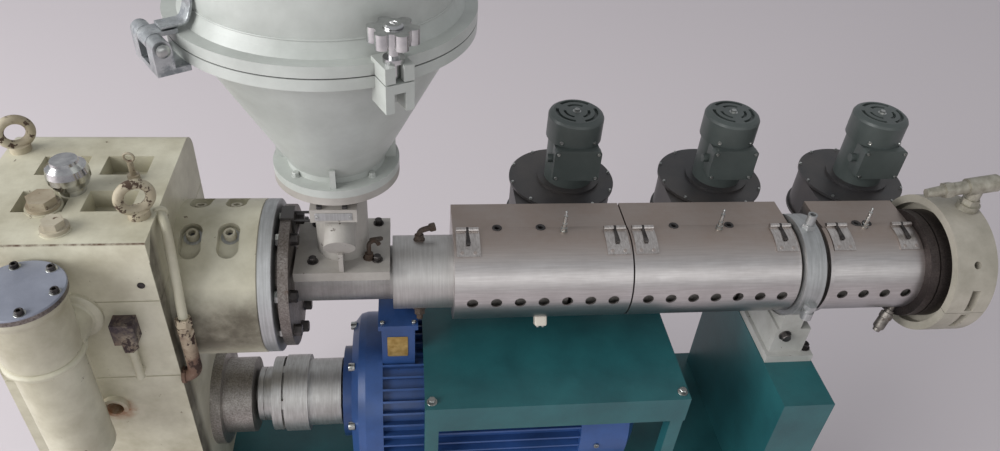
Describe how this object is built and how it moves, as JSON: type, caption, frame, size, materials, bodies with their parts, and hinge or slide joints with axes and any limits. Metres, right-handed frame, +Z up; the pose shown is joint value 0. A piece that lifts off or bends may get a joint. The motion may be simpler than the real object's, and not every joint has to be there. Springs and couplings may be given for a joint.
{
  "type": "plastic extruder",
  "caption": "Single-screw plastic extruder: gearbox, motor and coupling under the barrel, hopper on the throat, heated zones with blowers, die clamp.",
  "frame": {"origin": "centre of the rectangle of corner floor anchors, at floor level", "axes": "+X along the barrel from the gearbox to the die, +Y to the blowers at the back, +Z up"},
  "size_m": [1.8765, 0.665, 2.033],
  "materials": {
    "frame_green": "satin",
    "gear_cream": "satin",
    "hopper_grey": "gloss",
    "machined": "satin",
    "dark_steel": "rough",
    "rusty": "rough",
    "chrome": "polished",
    "galvanised": "satin",
    "barrel_steel": "satin",
    "stainless": "brushed",
    "throat_grey": "satin",
    "black_paint": "satin",
    "heater_metal": "matt",
    "stand_grey": "satin",
    "clamp_beige": "rough",
    "adapter_dark": "satin",
    "motor_blue": "satin",
    "scroll_black": "satin",
    "fan_grey": "satin",
    "lid_blue": "satin"
  },
  "bodies": {
    "machine": {"base_frame": "frame_green", "frame_feet": "frame_green", "pedestal": "frame_green", "motor_guard": "frame_green", "gearbox_base": "gear_cream", "gearbox_middle": "gear_cream", "gearbox_cover": "gear_cream", "thrust_housing": "gear_cream", "oil_filter": "gear_cream", "oil_pipe": "gear_cream", "lifting_eyes": "rusty", "breather_cap": "chrome", "gearbox_plugs": "galvanised", "output_ring": "machined", "input_cap": "dark_steel", "oil_filter_lid": "lid_blue", "oil_elbow": "rusty", "motor_body": "motor_blue", "motor_end_shield": "motor_blue", "motor_fan_cowl": "motor_blue", "barrel_flange": "dark_steel", "barrel": "barrel_steel", "feed_throat": "throat_grey", "sensor_bracket": "black_paint", "zone_cover_1": "stainless", "zone_cover_2": "stainless", "zone_cover_3": "stainless", "heater_bands": "heater_metal", "cover_latches": "stainless", "barrel_clamp": "machined", "clamp_stand": "stand_grey", "die_adapter": "adapter_dark", "die_ring_upper": "clamp_beige", "die_ring_lower": "clamp_beige", "melt_sensor": "galvanised", "fan_scroll_1": "scroll_black", "fan_scroll_2": "scroll_black", "fan_scroll_3": "scroll_black", "fan_motor_1": "fan_grey", "fan_motor_2": "fan_grey", "fan_motor_3": "fan_grey", "hopper_cone": "hopper_grey", "hopper_hinge_base": "galvanised"},
    "hopper_top": {"hopper_body": "hopper_grey", "hopper_lid": "hopper_grey", "hopper_hinge_leaf": "galvanised"},
    "knob_front": {"knob_front": "chrome"},
    "knob_back": {"knob_back": "chrome"},
    "drive_coupling": {"coupling": "dark_steel"}
  },
  "joints": [
    {"name": "hopper_tilt", "type": "hinge", "parent": "machine", "child": "hopper_top", "pos_m": [-0.39134, -0.13725, 1.536], "axis": [0.5446, -0.8387, 0], "range_deg": [0, 90]},
    {"name": "knob_front_turn", "type": "hinge", "parent": "hopper_top", "child": "knob_front", "pos_m": [-0.07942, -0.2157, 1.56], "axis": [0, 0, 1], "continuous": true},
    {"name": "knob_back_turn", "type": "hinge", "parent": "hopper_top", "child": "knob_back", "pos_m": [-0.33614, 0.17962, 1.56], "axis": [0, 0, 1], "continuous": true},
    {"name": "coupling_spin", "type": "hinge", "parent": "machine", "child": "drive_coupling", "pos_m": [-0.25, 0, 0.66], "axis": [1, 0, 0], "continuous": true}
  ]
}
